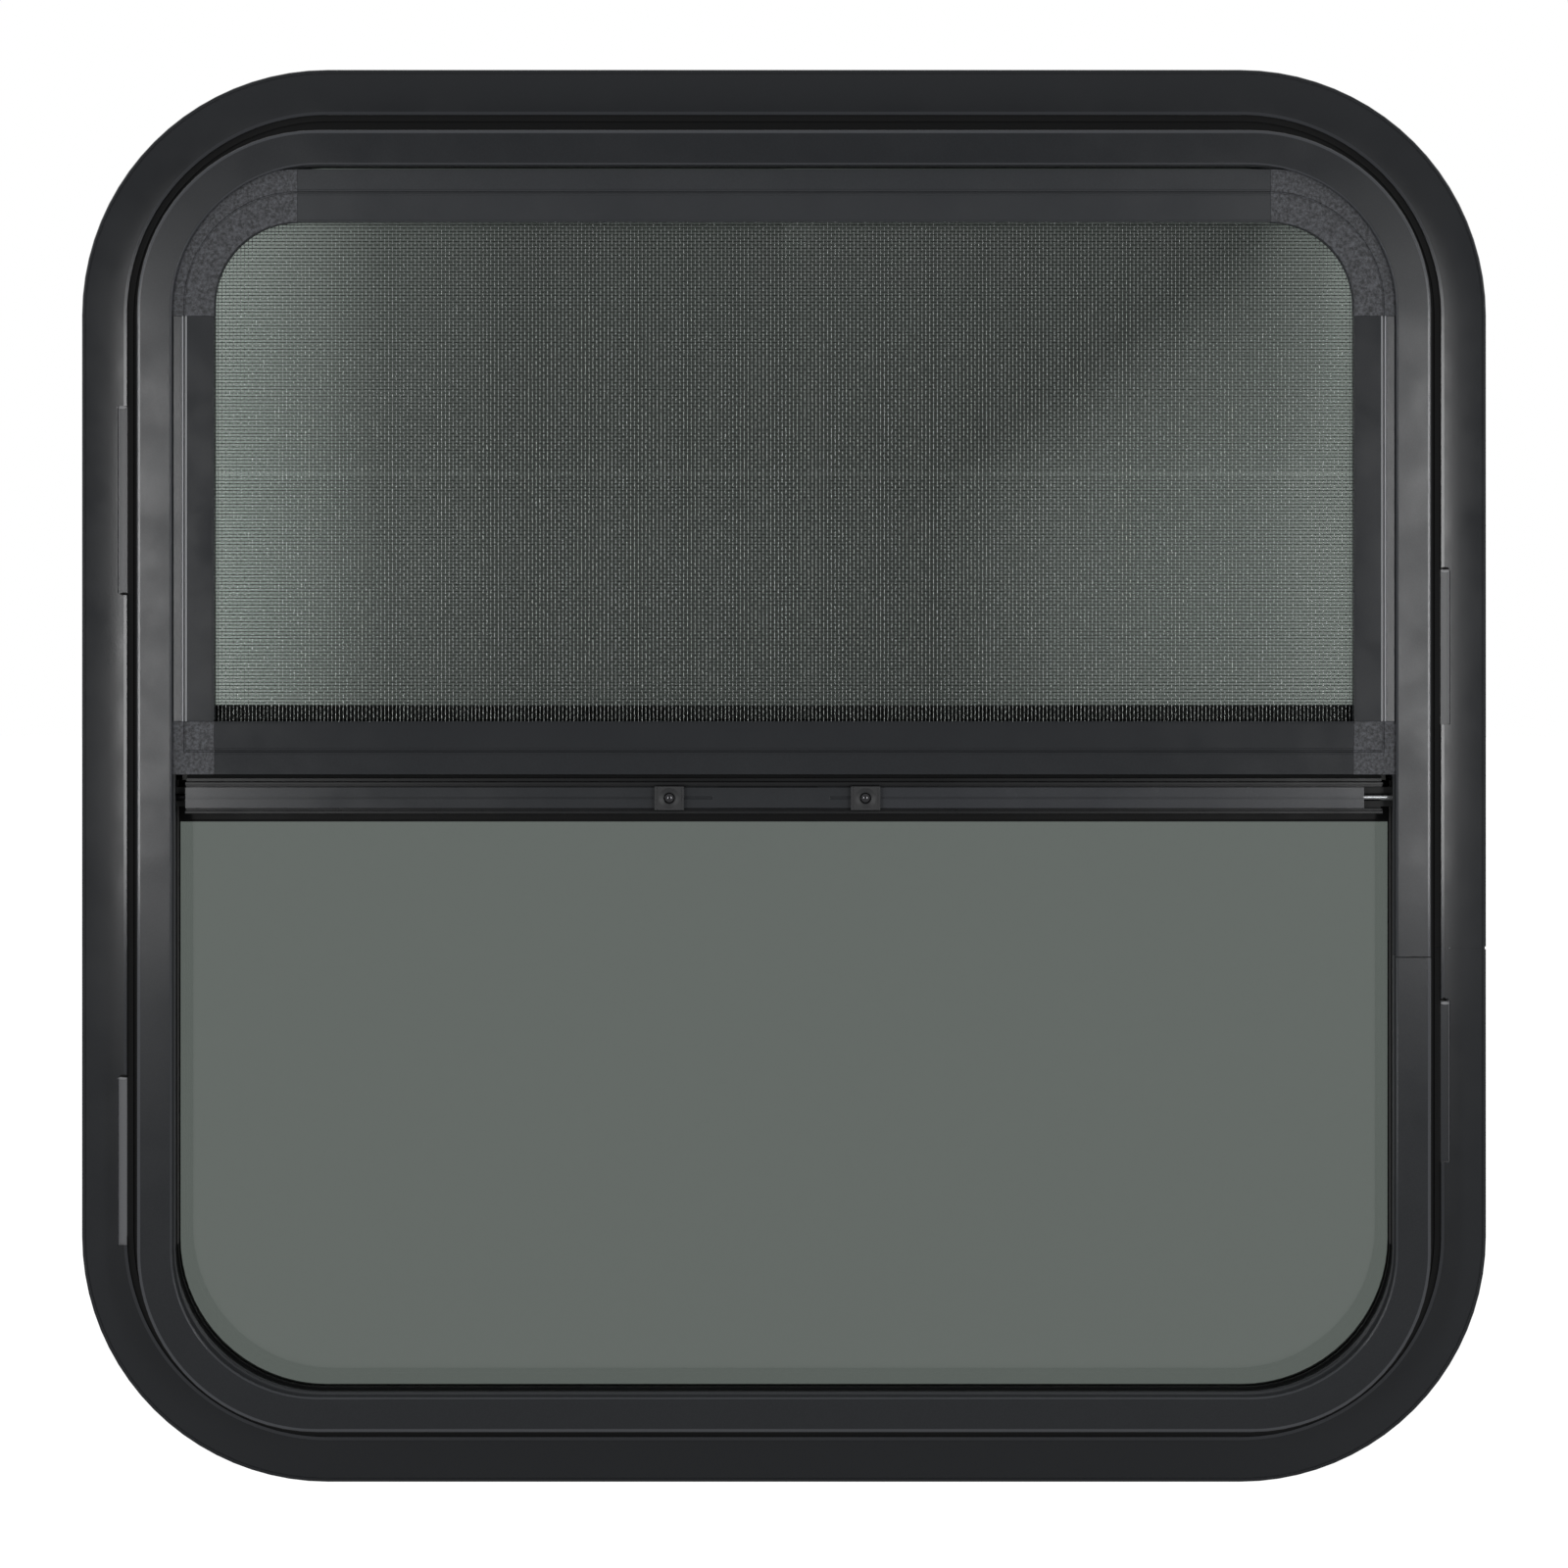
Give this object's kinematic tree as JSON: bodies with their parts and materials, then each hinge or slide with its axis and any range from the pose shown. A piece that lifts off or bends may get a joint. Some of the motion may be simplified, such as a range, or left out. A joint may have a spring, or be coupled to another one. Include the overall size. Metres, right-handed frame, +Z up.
{
  "type": "caravan window",
  "caption": "Vertical-sliding caravan window: bent black frame, tinted fixed pane below, sliding pane behind an insect screen above, latch rail between",
  "frame": {"origin": "middle of the flange's flat seat at the foot of the window, on the wall's outside face", "axes": "+Z up, -Y toward the room, +Y outdoors, +X to the right as seen from the room"},
  "size_m": [0.6, 0.0412, 0.6033],
  "materials": {
    "frame_coat": "satin",
    "rail_coat": "satin",
    "screen_coat": "satin",
    "corner_plastic": "matte, fine grain",
    "black_rubber": "matte",
    "black_pile": "matte",
    "tinted_glass": "gloss",
    "black_plastic": "matte",
    "tab_plastic": "satin",
    "dark_screw": "satin",
    "bolt_steel": "satin",
    "mesh_wire": "satin"
  },
  "bodies": {
    "root": {"outer_frame": "frame_coat", "fixed_glass": "tinted_glass", "fixed_glass_gasket": "black_rubber", "mullion": "frame_coat", "mullion_gasket": "black_rubber", "mullion_pile_strip": "black_pile", "run_channel": "black_pile", "sash_glass": "tinted_glass", "sash_rail": "rail_coat", "sash_rail_gasket": "black_rubber", "rail_end_plug_left": "black_plastic", "rail_end_plug_right": "black_plastic", "latch_bar_left": "rail_coat", "latch_bar_right": "rail_coat", "latch_cover": "rail_coat", "latch_tab_left": "tab_plastic", "latch_tab_right": "tab_plastic", "latch_screws": "dark_screw", "latch_bolt_left": "bolt_steel", "latch_bolt_right": "bolt_steel", "strike_left": "black_plastic", "strike_right": "black_plastic", "screen_top": "screen_coat", "screen_left": "screen_coat", "screen_right": "screen_coat", "screen_bottom": "screen_coat", "screen_corner_top_left": "corner_plastic", "screen_corner_top_right": "corner_plastic", "screen_corner_bottom_left": "corner_plastic", "screen_corner_bottom_right": "corner_plastic", "screen_spline": "black_rubber", "screen_mesh": "mesh_wire"}
  },
  "joints": []
}
